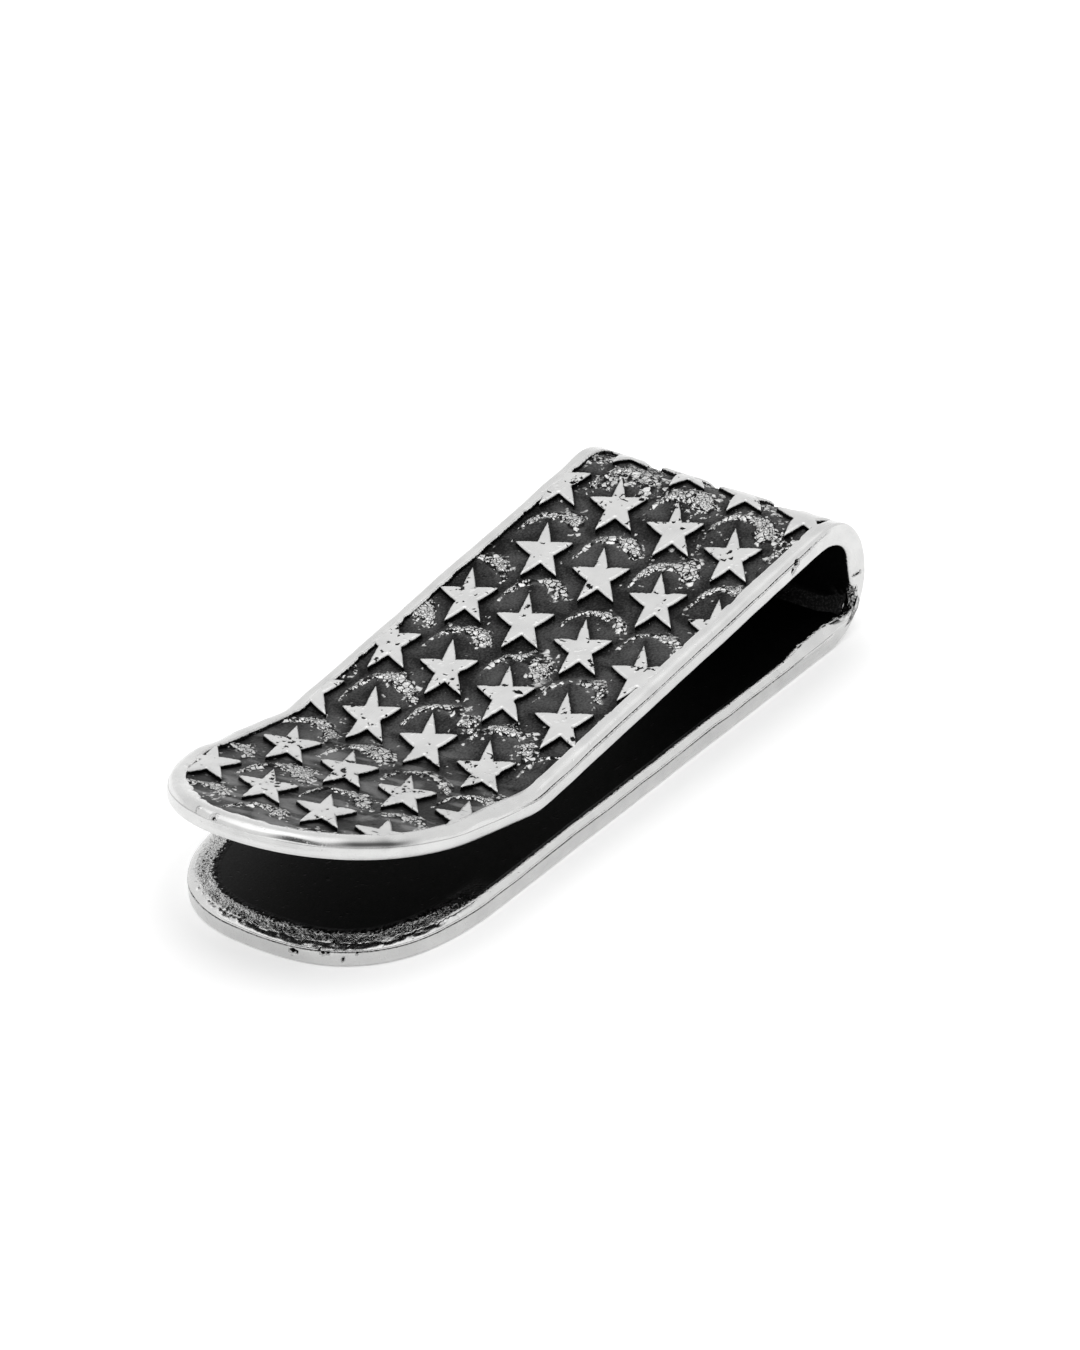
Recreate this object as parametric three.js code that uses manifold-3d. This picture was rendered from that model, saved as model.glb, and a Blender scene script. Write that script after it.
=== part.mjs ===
// A cast silver money clip: one strip bent into a U, with a flared lip, a raised rim and rows of raised stars.
// Millimetres, +Z up. The back leaf lies flat on z = 0, the bow is at +X and the lip's tip is at -X.
// The origin is on the resting plane, under the middle of the whole clip.
import * as THREE from 'three';
import { mergeVertices } from 'three/addons/utils/BufferGeometryUtils.js';
import Module from 'manifold-3d';

const wasm = await Module();
wasm.setup();

// Strip.
const WIDTH = 20;
const THICKNESS = 1.45;
const RELIEF = 0.4; // height of the rim and the stars over the recessed ground
const RIM = 1;
const CHORD_ERROR = 0.01;
const MERGE_DISTANCE = 1e-5;

// Bow: a half turn outside. Inside, a wall that leans back, between a small lower and a large upper corner.
// The wall's ends are where it would meet the leaves' inner faces, measured from the middle of the bow.
const BOW_RADIUS = 4.65;
const CAVITY_LOW = 3.1;
const CAVITY_HIGH = 2.45;
const LOW_CORNER = 1;
const HIGH_CORNER = 2.3;
const CORNER_STEPS = 6;
const SPLIT_ANGLE = 18; // where the bow's two halves meet, above its widest point
const SPLIT_GAP = 0.3;

// Back leaf, from the middle of the bow to its rounded end.
const BACK_LENGTH = 48.85;
const BACK_ROUNDING = 11.8;
const BACK_SQUARENESS = 2.55;

// Front leaf: a straight stretch that slopes down to the pinch, a short bend up, then a gently curved lip.
const FRONT_SLOPE = 5.8;
const FRONT_STRAIGHT = 31.2;
const LIP_BEND_RADIUS = 5;
const LIP_BEND_ANGLE = 16.2;
const LIP_CURVE_RADIUS = 124;
const LIP_CURVE_ANGLE = 8.7;
const LIP_ROUNDING = 13.2;
const LIP_SQUARENESS = 2.1;
const OUTLINE_STEPS = 28;
const CUTTER_REACH = 6;

// Stars, as (along the strip towards the lip, across towards +Y). Both arms are a unit star's radius drawn out.
const FIRST_STAR = new THREE.Vector2(3.43, 3.94);
const ROW_STEP = new THREE.Vector2(6.52, 1.42);
const COLUMN_STEP = new THREE.Vector2(0.69, -5.04);
const STAR_TOP = new THREE.Vector2(-2.88, 1.61);
const STAR_SIDE = new THREE.Vector2(-0.84, -1.81);
const STAR_POINTS = 5;
const STAR_DIG = 2; // how far a star is pressed through the strip's face before it is trimmed to the relief
const STAR_WAIST = 0.382; // inner radius over outer radius of a pentagram
const ROWS_ON_BOW = 2;
const ROWS = 9;
const COLUMNS = 7;
const COLUMNS_BEFORE_FIRST = 2;
const SMALLEST_STAR = 0.3; // cubic millimetres; less than this is only a crumb beside the rim

const SLOPE = THREE.MathUtils.degToRad(FRONT_SLOPE);
const BOW_LENGTH = BOW_RADIUS * (Math.PI + SLOPE);
const SPLIT = BOW_RADIUS * (THREE.MathUtils.degToRad(SPLIT_ANGLE) - Math.PI / 2 - SLOPE);
const SPLIT_LOW = SPLIT - SPLIT_GAP / 2;
const SPLIT_HIGH = SPLIT + SPLIT_GAP / 2;

// The strip's outside face as arcs, from the middle of the bow's underside to the tip of the lip.
const SEGMENTS = [
  arc(BOW_RADIUS, Math.PI + SLOPE),
  { length: FRONT_STRAIGHT, turn: 0, steps: 1 },
  arc(LIP_BEND_RADIUS, -THREE.MathUtils.degToRad(LIP_BEND_ANGLE)),
  arc(LIP_CURVE_RADIUS, -THREE.MathUtils.degToRad(LIP_CURVE_ANGLE)),
];
const STRIP_END = SEGMENTS.reduce((total, segment) => total + segment.length, -BOW_LENGTH);

const silver = { color: 0xc9c9c6, roughness: 0.3, metalness: 1 };
const oxidised = { color: 0x262626, roughness: 0.6, metalness: 0.8 };

function arc(radius, turn) {
  const step = 2 * Math.acos(1 - CHORD_ERROR / radius);
  return { length: radius * Math.abs(turn), turn, steps: Math.ceil(Math.abs(turn) / step) };
}

// Where the outside face is at distance s from the front leaf's start, and which way it runs there.
function outside(s) {
  const at = { x: 0, z: 0, heading: 0 };
  let left = s + BOW_LENGTH;
  for (const { length, turn } of SEGMENTS) {
    const step = Math.min(Math.max(left, 0), length);
    const bend = turn / length;
    const next = at.heading + bend * step;
    at.x += bend ? (Math.sin(next) - Math.sin(at.heading)) / bend : step * Math.cos(at.heading);
    at.z += bend ? (Math.cos(at.heading) - Math.cos(next)) / bend : step * Math.sin(at.heading);
    at.heading = next;
    left -= length;
  }
  return at;
}

function section(s, depth) {
  const { x, z, heading } = outside(s);
  return new THREE.Vector2(x - depth * Math.sin(heading), z + depth * Math.cos(heading));
}

// Distances along the strip where its facets meet, between two ends.
function stations(from, to) {
  const list = [from];
  let start = -BOW_LENGTH;
  for (const { length, steps } of SEGMENTS) {
    for (let i = 0; i <= steps; i += 1) {
      const s = start + (length * i) / steps;
      if (s > list.at(-1) + CHORD_ERROR && s < to - CHORD_ERROR) list.push(s);
    }
    start += length;
  }
  return [...list, to];
}

function faceLine(from, to, depth) {
  return stations(from, to).map((s) => section(s, depth));
}

// A side profile in (x, z), drawn across the strip from one y to another.
function slab(profile, yLow, yHigh) {
  const shape = new THREE.Shape(profile);
  const geometry = new THREE.ExtrudeGeometry(shape, { depth: yHigh - yLow, bevelEnabled: false });
  return geometry.rotateX(Math.PI / 2).translate(0, yHigh, 0);
}

function layer(from, to, top, bottom, yLow = -WIDTH / 2, yHigh = WIDTH / 2) {
  return slab([...faceLine(from, to, top), ...faceLine(from, to, bottom).reverse()], yLow, yHigh);
}

// A rounded corner between two straight lines that meet at `corner`.
function roundedCorner(before, corner, after, radius) {
  const toBefore = before.clone().sub(corner).normalize();
  const toAfter = after.clone().sub(corner).normalize();
  const half = Math.acos(toBefore.dot(toAfter)) / 2;
  const middle = toBefore.clone().add(toAfter).normalize();
  const centre = corner.clone().addScaledVector(middle, radius / Math.sin(half));
  const start = corner.clone().addScaledVector(toBefore, radius / Math.tan(half)).sub(centre);
  const sweep = (Math.PI - 2 * half) * Math.sign(toAfter.cross(toBefore));
  const points = [];
  for (let i = 0; i <= CORNER_STEPS; i += 1) {
    const turned = start.clone().rotateAround(new THREE.Vector2(), (sweep * i) / CORNER_STEPS);
    points.push(turned.add(centre));
  }
  return points;
}

// Where two lines cross, each given by a point and a direction.
function crossing(pointA, alongA, pointB, alongB) {
  const share = pointB.clone().sub(pointA).cross(alongB) / alongA.cross(alongB);
  return pointA.clone().addScaledVector(alongA, share);
}

// Half of the bow under its relief, cut square to the outside at the split.
function bowHalf(from, to) {
  const leafLow = section(-BOW_LENGTH, THICKNESS);
  const leafHigh = section(0, THICKNESS);
  const low = new THREE.Vector2(CAVITY_LOW, leafLow.y);
  const high = new THREE.Vector2(CAVITY_HIGH, leafHigh.y + (CAVITY_HIGH - leafHigh.x) * Math.tan(SLOPE));
  const wall = high.clone().sub(low);
  const isLower = from < SPLIT;
  const cutAt = isLower ? to : from;
  const cut = section(cutAt, 0).sub(section(cutAt, THICKNESS));
  const wallEnd = crossing(low, wall, section(cutAt, 0), cut);
  const inner = isLower
    ? [wallEnd, ...roundedCorner(high, low, leafLow, LOW_CORNER), leafLow]
    : [leafHigh, ...roundedCorner(leafHigh, high, low, HIGH_CORNER), wallEnd];
  return slab([...faceLine(from, to, RELIEF), ...inner], -WIDTH / 2, WIDTH / 2);
}

// A strip end seen flat: straight sides, then a rounded end from a superellipse.
function outline(halfWidth, straight, rounding, squareness) {
  const points = [new THREE.Vector2(halfWidth, -straight)];
  for (let i = 0; i <= OUTLINE_STEPS; i += 1) {
    const angle = (Math.PI * i) / OUTLINE_STEPS;
    const across = Math.sign(Math.cos(angle)) * Math.abs(Math.cos(angle)) ** (2 / squareness);
    const along = Math.abs(Math.sin(angle)) ** (2 / squareness);
    points.push(new THREE.Vector2(halfWidth * across, rounding * along));
  }
  points.push(new THREE.Vector2(-halfWidth, -straight));
  return new THREE.Shape(points);
}

// A shape drawn in (across, along the strip), stood on the outside face at s and extruded through the strip.
function through(shape, s, w, heading, low, high) {
  const { x, z } = outside(s);
  const geometry = new THREE.ExtrudeGeometry(shape, { depth: high - low, bevelEnabled: false });
  const across = new THREE.Vector3(0, 1, 0);
  const along = new THREE.Vector3(Math.cos(heading), 0, Math.sin(heading));
  const out = new THREE.Vector3().crossVectors(across, along);
  const place = new THREE.Matrix4().makeBasis(across, along, out);
  place.setPosition(new THREE.Vector3(x, w, z).addScaledVector(out, low));
  return geometry.applyMatrix4(place);
}

function lipCutter(inset) {
  const start = STRIP_END - LIP_ROUNDING;
  const from = outside(start);
  const tip = outside(STRIP_END);
  const heading = Math.atan2(tip.z - from.z, tip.x - from.x);
  const length = Math.hypot(tip.z - from.z, tip.x - from.x);
  const shape = outline(WIDTH / 2 - inset, LIP_ROUNDING, length - inset, LIP_SQUARENESS);
  return solid(through(shape, start, 0, heading, -CUTTER_REACH, CUTTER_REACH));
}

function starShape() {
  const points = [];
  for (let i = 0; i < 2 * STAR_POINTS; i += 1) {
    const radius = i % 2 ? STAR_WAIST : 1;
    const angle = Math.PI / 2 + (Math.PI * i) / STAR_POINTS;
    const arm = new THREE.Vector2();
    arm.addScaledVector(STAR_SIDE, radius * Math.cos(angle));
    arm.addScaledVector(STAR_TOP, radius * Math.sin(angle));
    points.push(new THREE.Vector2(arm.y, arm.x));
  }
  return new THREE.Shape(points);
}

function solid(geometry) {
  const plain = geometry.clone();
  plain.deleteAttribute('normal');
  plain.deleteAttribute('uv');
  const merged = mergeVertices(plain, MERGE_DISTANCE);
  const vertProperties = new Float32Array(merged.attributes.position.array);
  const triVerts = new Uint32Array(merged.index.array);
  return new wasm.Manifold(new wasm.Mesh({ numProp: 3, vertProperties, triVerts }));
}

function fromSolid(manifold) {
  const { vertProperties, triVerts } = manifold.getMesh();
  const geometry = new THREE.BufferGeometry();
  geometry.setAttribute('position', new THREE.BufferAttribute(vertProperties, 3));
  geometry.setIndex(new THREE.BufferAttribute(triVerts, 1));
  geometry.computeVertexNormals();
  return geometry;
}

const clip = new THREE.Group();

function add(name, geometry, look) {
  const mesh = new THREE.Mesh(geometry, new THREE.MeshStandardMaterial(look));
  mesh.name = name;
  clip.add(mesh);
}

function addLeaves() {
  const backOutline = outline(WIDTH / 2, BACK_LENGTH - BACK_ROUNDING, BACK_ROUNDING, BACK_SQUARENESS);
  const back = new THREE.ExtrudeGeometry(backOutline, { depth: THICKNESS, bevelEnabled: false });
  add('back_leaf', back.rotateZ(Math.PI / 2).translate(BACK_ROUNDING - BACK_LENGTH, 0, 0), silver);
  add('bow_lower', bowHalf(-BOW_LENGTH, SPLIT_LOW), oxidised);
  add('bow_upper', bowHalf(SPLIT_HIGH, 0), oxidised);
  add('front_leaf', layer(0, FRONT_STRAIGHT, RELIEF, THICKNESS), oxidised);
  const lip = solid(layer(FRONT_STRAIGHT, STRIP_END, RELIEF, THICKNESS));
  add('lip', fromSolid(lip.intersect(lipCutter(0))), oxidised);
}

function addRims() {
  const foot = -BOW_LENGTH + RIM;
  for (const [side, yLow] of [['near', -WIDTH / 2], ['far', WIDTH / 2 - RIM]]) {
    const yHigh = yLow + RIM;
    add(`bow_rim_${side}_lower`, layer(foot, SPLIT_LOW, 0, RELIEF, yLow, yHigh), silver);
    add(`bow_rim_${side}_upper`, layer(SPLIT_HIGH, 0, 0, RELIEF, yLow, yHigh), silver);
    add(`front_rim_${side}`, layer(0, FRONT_STRAIGHT, 0, RELIEF, yLow, yHigh), silver);
  }
  add('bow_rim_foot', layer(-BOW_LENGTH, foot, 0, RELIEF), silver);
  const band = solid(layer(FRONT_STRAIGHT, STRIP_END, 0, RELIEF));
  add('lip_rim', fromSolid(band.intersect(lipCutter(0)).subtract(lipCutter(RIM))), silver);
}

// The space inside the rim that stars may fill, on the lower half of the bow and on everything after it.
function recesses() {
  const inner = WIDTH / 2 - RIM;
  const lower = solid(layer(-BOW_LENGTH + RIM, SPLIT_LOW, 0, RELIEF, -inner, inner));
  const upper = solid(layer(SPLIT_HIGH, STRIP_END, 0, RELIEF, -inner, inner));
  const beforeLip = solid(layer(SPLIT_HIGH, FRONT_STRAIGHT, 0, RELIEF, -inner, inner));
  return { lower, upper: upper.intersect(lipCutter(RIM)).add(beforeLip) };
}

function addStars() {
  const { lower, upper } = recesses();
  for (let row = 0; row < ROWS; row += 1) {
    for (let column = 0; column < COLUMNS; column += 1) {
      const at = FIRST_STAR.clone().addScaledVector(ROW_STEP, row - ROWS_ON_BOW);
      at.addScaledVector(COLUMN_STEP, column - COLUMNS_BEFORE_FIRST);
      const { heading } = outside(at.x);
      const star = solid(through(starShape(), at.x, at.y, heading, -STAR_DIG, RELIEF));
      const cast = star.intersect(row === 0 ? lower : upper);
      if (cast.volume() > SMALLEST_STAR) add(`star_${row + 1}_${column + 1}`, fromSolid(cast), silver);
    }
  }
}

addLeaves();
addRims();
addStars();

const bounds = new THREE.Box3().setFromObject(clip);
clip.position.set(-(bounds.min.x + bounds.max.x) / 2, 0, 0);

export default clip;
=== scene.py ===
# A cast silver money clip with a star relief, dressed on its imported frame. The scene is in metres. The strip
# is laid out flat in millimetres and then bent onto the frame's U, so sizes are in millimetres until MM.
#
# Strip coordinates: s runs along the strip's outside face from the start of the front leaf (0) to the lip's
# tip (positive) or round the bow to the back leaf's end (negative), w runs across towards +Y, and depth goes
# into the metal from the tops of the rim and the stars.

import math

import bmesh
import bpy
import numpy as np
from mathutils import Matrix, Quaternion, Vector
from mathutils.geometry import delaunay_2d_cdt


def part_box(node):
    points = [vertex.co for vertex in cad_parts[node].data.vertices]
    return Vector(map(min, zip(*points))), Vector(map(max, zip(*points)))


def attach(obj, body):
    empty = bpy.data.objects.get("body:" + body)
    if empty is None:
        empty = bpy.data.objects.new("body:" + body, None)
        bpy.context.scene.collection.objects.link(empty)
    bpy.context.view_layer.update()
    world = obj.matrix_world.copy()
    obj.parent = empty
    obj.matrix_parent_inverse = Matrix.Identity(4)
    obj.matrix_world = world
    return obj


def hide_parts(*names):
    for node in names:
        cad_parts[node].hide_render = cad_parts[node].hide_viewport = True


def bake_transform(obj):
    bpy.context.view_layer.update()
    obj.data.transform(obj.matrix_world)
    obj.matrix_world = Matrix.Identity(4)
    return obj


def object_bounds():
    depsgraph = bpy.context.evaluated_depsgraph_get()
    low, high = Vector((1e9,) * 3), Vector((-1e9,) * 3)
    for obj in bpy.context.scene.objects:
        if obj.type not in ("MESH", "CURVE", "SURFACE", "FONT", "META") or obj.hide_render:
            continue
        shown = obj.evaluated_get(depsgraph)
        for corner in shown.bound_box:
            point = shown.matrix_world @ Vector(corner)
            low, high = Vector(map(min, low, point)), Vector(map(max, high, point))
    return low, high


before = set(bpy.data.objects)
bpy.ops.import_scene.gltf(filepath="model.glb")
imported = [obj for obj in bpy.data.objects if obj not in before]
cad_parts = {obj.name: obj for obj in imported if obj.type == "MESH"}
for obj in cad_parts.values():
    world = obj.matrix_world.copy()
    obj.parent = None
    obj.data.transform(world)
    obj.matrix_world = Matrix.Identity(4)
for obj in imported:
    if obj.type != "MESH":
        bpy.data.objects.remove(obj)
cad_low, cad_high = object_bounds()

MM = 0.001
back_low, back_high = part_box("back_leaf")
rim_low, rim_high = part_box("front_rim_near")

# Sizes read off the frame, in millimetres.
WIDTH = (back_high.y - back_low.y) / MM
THICKNESS = back_high.z / MM
BACK_LENGTH = (back_high.x - back_low.x) / MM
BOW_X = back_high.x / MM
BOW_RADIUS = (cad_high.x - back_high.x) / MM
RIM = (rim_high.y - rim_low.y) / MM

# The CAD model's other driving dimensions, in millimetres and degrees.
RELIEF = 0.4
CAVITY_LOW, CAVITY_HIGH = 3.1, 2.45
LOW_CORNER, HIGH_CORNER = 1.0, 2.3
BACK_ROUNDING, BACK_SQUARENESS = 11.8, 2.55
SLOPE = math.radians(5.8)
FRONT_STRAIGHT = 31.2
LIP_BEND_RADIUS, LIP_BEND = 5.0, math.radians(16.2)
LIP_CURVE_RADIUS, LIP_CURVE = 124.0, math.radians(8.7)
LIP_ROUNDING, LIP_SQUARENESS = 13.2, 2.1
BOW_LENGTH = BOW_RADIUS * (math.pi + SLOPE)

# Stars: the first one's centre, the steps between them and a unit star's two arms, all as (s, w).
FIRST_STAR = np.array([3.43, 3.94])
ROW_STEP = np.array([6.52, 1.42])
COLUMN_STEP = np.array([0.69, -5.04])
STAR_TOP = np.array([-2.88, 1.61])
STAR_SIDE = np.array([-0.84, -1.81])
STAR_POINTS = 5
STAR_WAIST = 0.382  # inner radius over outer radius of a pentagram
ROWS_ON_BOW = 2
COLUMNS_BEFORE_FIRST = 2
# The cast stars' rows and columns with spare ones all round, whose arches of grains reach in.
ALL_ROWS = range(-1, 10)
ALL_COLUMNS = range(-1, 9)

SEGMENTS = [  # (length, turn) of the outside face, from the back leaf's end to the lip's tip
    (BACK_LENGTH, 0.0),
    (BOW_LENGTH, math.pi + SLOPE),
    (FRONT_STRAIGHT, 0.0),
    (LIP_BEND_RADIUS * LIP_BEND, -LIP_BEND),
    (LIP_CURVE_RADIUS * LIP_CURVE, -LIP_CURVE),
]
STRIP_START = -BOW_LENGTH - BACK_LENGTH
STRIP_END = STRIP_START + sum(length for length, _ in SEGMENTS)


def smooth(x, low, high):
    """0 below low, 1 above high, and a smooth step between them."""
    t = np.clip((np.asarray(x, float) - low) / (high - low), 0, 1)
    return t * t * (3 - 2 * t)


# ---------------------------------------------------------------- the strip's path

def outside(s):
    """Where the outside face is at s, in the bow's own millimetres, and which way it runs."""
    s = np.asarray(s, float)
    x, z, heading = np.full(s.shape, -BACK_LENGTH), np.zeros(s.shape), np.zeros(s.shape)
    left = s - STRIP_START
    for number, (length, turn) in enumerate(SEGMENTS):
        last = number == len(SEGMENTS) - 1
        step = np.minimum(left, np.inf if last else length)
        step = step if number == 0 else np.maximum(step, 0)
        bend = turn / length
        after = heading + bend * step
        if bend:
            x = x + (np.sin(after) - np.sin(heading)) / bend
            z = z + (np.cos(heading) - np.cos(after)) / bend
        else:
            x, z = x + step * np.cos(heading), z + step * np.sin(heading)
        heading = after
        left = left - length
    return x, z, heading


def place(s, w, depth):
    """Points of the strip, in metres in the shared frame."""
    x, z, heading = outside(s)
    x = x - depth * np.sin(heading) + BOW_X
    z = z + depth * np.cos(heading)
    return np.stack(np.broadcast_arrays(x, w, z), axis=-1) * MM


CORNER_STEPS = 12
WALL_SAMPLES = 30


def arc_between(before, corner, after, radius):
    """A round corner between two straight lines that meet at corner."""
    to_before = (before - corner) / np.linalg.norm(before - corner)
    to_after = (after - corner) / np.linalg.norm(after - corner)
    half = math.acos(to_before @ to_after) / 2
    middle = (to_before + to_after) / np.linalg.norm(to_before + to_after)
    centre = corner + middle * radius / math.sin(half)
    ends = [corner + way * radius / math.tan(half) - centre for way in (to_before, to_after)]
    share = np.linspace(0, 1, CORNER_STEPS)[:, None]
    blended = ends[0] * (1 - share) + ends[1] * share
    return centre + blended / np.linalg.norm(blended, axis=1)[:, None] * radius


def wall_depths():
    """The wall's thickness along the strip: even in the leaves, up to the cavity's corners in the bow."""
    x, z, heading = outside(np.array([-BOW_LENGTH, 0.0]))
    leaf = np.stack([x - THICKNESS * np.sin(heading), z + THICKNESS * np.cos(heading)], axis=1)
    low = np.array([CAVITY_LOW, leaf[0, 1]])
    rise = (CAVITY_HIGH - leaf[1, 0]) * math.tan(SLOPE)
    high = np.array([CAVITY_HIGH, leaf[1, 1] + rise])
    low_arc = arc_between(leaf[0], low, high, LOW_CORNER)
    high_arc = arc_between(low, high, leaf[1], HIGH_CORNER)
    outline = np.concatenate([leaf[:1], low_arc, high_arc, leaf[1:]])
    dense = np.concatenate([
        np.linspace(a, b, WALL_SAMPLES, endpoint=False) for a, b in zip(outline[:-1], outline[1:])
    ] + [leaf[1:]])
    about = dense - np.array([0, BOW_RADIUS])
    around = np.unwrap(np.arctan2(about[:, 1], about[:, 0]))
    return around, BOW_RADIUS - np.linalg.norm(about, axis=1)


WALL_ANGLES, WALL_DEPTHS = wall_depths()


def wall_depth(s):
    around = (np.asarray(s) + BOW_LENGTH) / BOW_RADIUS - math.pi / 2
    return np.interp(around, WALL_ANGLES, WALL_DEPTHS, left=THICKNESS, right=THICKNESS)


# ---------------------------------------------------------------- randomness

NOISE_GRID = 257


def noise(x, y, size, seed):
    """Smooth random blobs from -1 to 1, about size across."""
    grid = np.random.default_rng(seed).uniform(-1, 1, (NOISE_GRID, NOISE_GRID))
    u, v = np.broadcast_arrays(np.asarray(x, float) / size, np.asarray(y, float) / size)
    i, j = np.floor(u).astype(int), np.floor(v).astype(int)
    fu, fv = smooth(u - i, 0, 1), smooth(v - j, 0, 1)

    def at(a, b):
        return grid[a % NOISE_GRID, b % NOISE_GRID]

    low = at(i, j) * (1 - fu) + at(i + 1, j) * fu
    high = at(i, j + 1) * (1 - fu) + at(i + 1, j + 1) * fu
    return low * (1 - fv) + high * fv


def rough(x, y, size, seed, octaves=3):
    """Noise with finer noise on it."""
    total = sum(noise(x, y, size / 2**n, seed + n) / 2**n for n in range(octaves))
    return total / (2 - 2.0 ** (1 - octaves))


def layer(x, y, amount, size, seed, kind=noise):
    """Noise from -amount to amount."""
    return amount * kind(x, y, size, seed)


def cells(x, y, size, seed):
    """Random cells about size across: how far inside its cell each point is, and the cell's tone."""
    rng = np.random.default_rng(seed)
    spots = rng.uniform(0, 1, (NOISE_GRID, NOISE_GRID, 2))
    tones = rng.uniform(0, 1, (NOISE_GRID, NOISE_GRID))
    u, v = np.broadcast_arrays(np.asarray(x, float) / size, np.asarray(y, float) / size)
    i, j = np.floor(u).astype(int), np.floor(v).astype(int)
    first = np.full(u.shape, np.inf)
    second = np.full(u.shape, np.inf)
    tone = np.zeros(u.shape)
    for di in (-1, 0, 1):
        for dj in (-1, 0, 1):
            a, b = (i + di) % NOISE_GRID, (j + dj) % NOISE_GRID
            away = np.hypot(i + di + spots[a, b, 0] - u, j + dj + spots[a, b, 1] - v)
            nearer = away < first
            second = np.where(nearer, first, np.minimum(second, away))
            tone = np.where(nearer, tones[a, b], tone)
            first = np.where(nearer, away, first)
    return second - first, tone


# ---------------------------------------------------------------- stars on the strip

def star_centre(row, column):
    """row and column count from 0, as in the CAD names less one."""
    rows, columns = row - ROWS_ON_BOW, column - COLUMNS_BEFORE_FIRST
    return FIRST_STAR + ROW_STEP * rows + COLUMN_STEP * columns


def star_outline(steps, bulge):
    """A unit star's outline in (side, top) coordinates, its arms' edges bowed out a little."""
    corners = []
    for i in range(2 * STAR_POINTS):
        radius = STAR_WAIST if i % 2 else 1.0
        angle = math.pi / 2 + math.pi * i / STAR_POINTS
        corners.append(radius * np.array([math.cos(angle), math.sin(angle)]))
    points = []
    for a, b in zip(corners, corners[1:] + corners[:1]):
        out = np.array([(b - a)[1], -(b - a)[0]])
        for share in np.arange(steps) / steps:
            points.append(a + (b - a) * share + out * bulge * math.sin(math.pi * share))
    return np.array(points)


def unit_to_strip(points):
    return points[..., :1] * STAR_SIDE + points[..., 1:] * STAR_TOP


def strip_to_unit(s, w):
    matrix = np.linalg.inv(np.stack([STAR_SIDE, STAR_TOP], axis=1))
    return matrix[0, 0] * s + matrix[0, 1] * w, matrix[1, 0] * s + matrix[1, 1] * w


def half_width(s, inset):
    """Half the strip's width at s, less inset all round, on the bow, the front leaf and the lip."""
    length = LIP_ROUNDING - inset
    u = np.clip((np.asarray(s, float) - (STRIP_END - LIP_ROUNDING)) / length, 0, 1)
    return (WIDTH / 2 - inset) * (1 - u**LIP_SQUARENESS) ** (1 / LIP_SQUARENESS)


STAR_NAMES = sorted(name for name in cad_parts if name.startswith("star_"))
STARS = {name: tuple(int(n) - 1 for n in name.split("_")[1:]) for name in STAR_NAMES}
ALL_STARS = [star_centre(row, column) for row in ALL_ROWS for column in ALL_COLUMNS]


# ---------------------------------------------------------------- mesh helpers

def make_piece(name, points, faces, material, strip, **masks):
    """A smooth mesh object, with its strip coordinates and its masks as attributes for the material."""
    mesh = bpy.data.meshes.new(name)
    mesh.from_pydata([tuple(p) for p in points], [], faces)
    mesh.validate()
    mesh.polygons.foreach_set("use_smooth", np.ones(len(mesh.polygons), bool))
    mesh.attributes.new("strip", "FLOAT_VECTOR", "POINT").data.foreach_set(
        "vector", np.ascontiguousarray(strip, np.float32).ravel())
    for key, values in masks.items():
        mesh.attributes.new(key, "FLOAT", "POINT").data.foreach_set(
            "value", np.ascontiguousarray(values, np.float32).ravel())
    mesh.materials.append(material)
    piece = bpy.data.objects.new(name, mesh)
    bpy.context.scene.collection.objects.link(piece)
    return piece


def without_repeats(faces):
    """Quads whose corners have run together become triangles or go away."""
    kept = []
    for face in faces:
        short = [v for n, v in enumerate(face) if v != face[n - 1]]
        if len(set(short)) == len(short) and len(short) > 2:
            kept.append(tuple(short))
    return kept


def bend_with_bow(piece):
    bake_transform(piece)


# ---------------------------------------------------------------- the clip's body

SIDE_TOP, SIDE_FOOT = 0.55, 0.45  # the side face's ends, from the outside and from the inside face
SIDE_STEPS = 6
MARGIN_STEPS = (0.78, 0.92, 1.06, 1.2, 1.34, 1.48, 1.62, 1.78, 1.96, 2.16, 2.4)


def side_face():
    """Even steps down the side face."""
    return [(0.0, SIDE_TOP * (1 - f) - SIDE_FOOT * f, f, 0.0) for f in np.linspace(0, 1, SIDE_STEPS)]


def inner_margin():
    """Steps in over the inside face, close enough together to carry its ragged edge."""
    return [(inset, 0.0, 1, 1.0) for inset in MARGIN_STEPS]


# The edge's section as (inset, depth from a face, which face: 0 outside, 1 inside, how black). It runs from
# the recess's floor, over the rim, down the side and in under the strip.
RECESS_WALL = [
    (RIM + 0.45, 0.55, 0, 1.0),
    (RIM + 0.10, 0.50, 0, 1.0),
    (RIM + 0.02, 0.36, 0, 1.0),
    (RIM - 0.02, 0.10, 0, 0.7),
    (RIM - 0.06, 0.03, 0, 0.1),
    (RIM - 0.14, 0.0, 0, 0.0),
]
SHARP_LOWER_CORNER = [
    (0.0, -0.36, 1, 0.0),
    (0.0, -0.28, 1, 0.0),
    (0.005, -0.20, 1, 0.0),
    (0.02, -0.13, 1, 0.0),
    (0.05, -0.08, 1, 0.0),
    (0.10, -0.035, 1, 0.1),
    (0.19, -0.01, 1, 0.5),
    (0.32, 0.0, 1, 1.0),
    (0.5, 0.0, 1, 1.0),
]
# On the front leaf a bead runs along the rim, with a groove under it.
FRONT_EDGE = RECESS_WALL + [
    (0.62, 0.0, 0, 0.0),
    (0.42, 0.01, 0, 0.0),
    (0.30, 0.045, 0, 0.0),
    (0.19, 0.11, 0, 0.0),
    (0.10, 0.19, 0, 0.0),
    (0.045, 0.28, 0, 0.0),
    (0.02, 0.325, 0, 0.2),
    (0.075, 0.365, 0, 1.0),
    (0.0, 0.415, 0, 0.2),
] + side_face() + SHARP_LOWER_CORNER + inner_margin()
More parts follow.
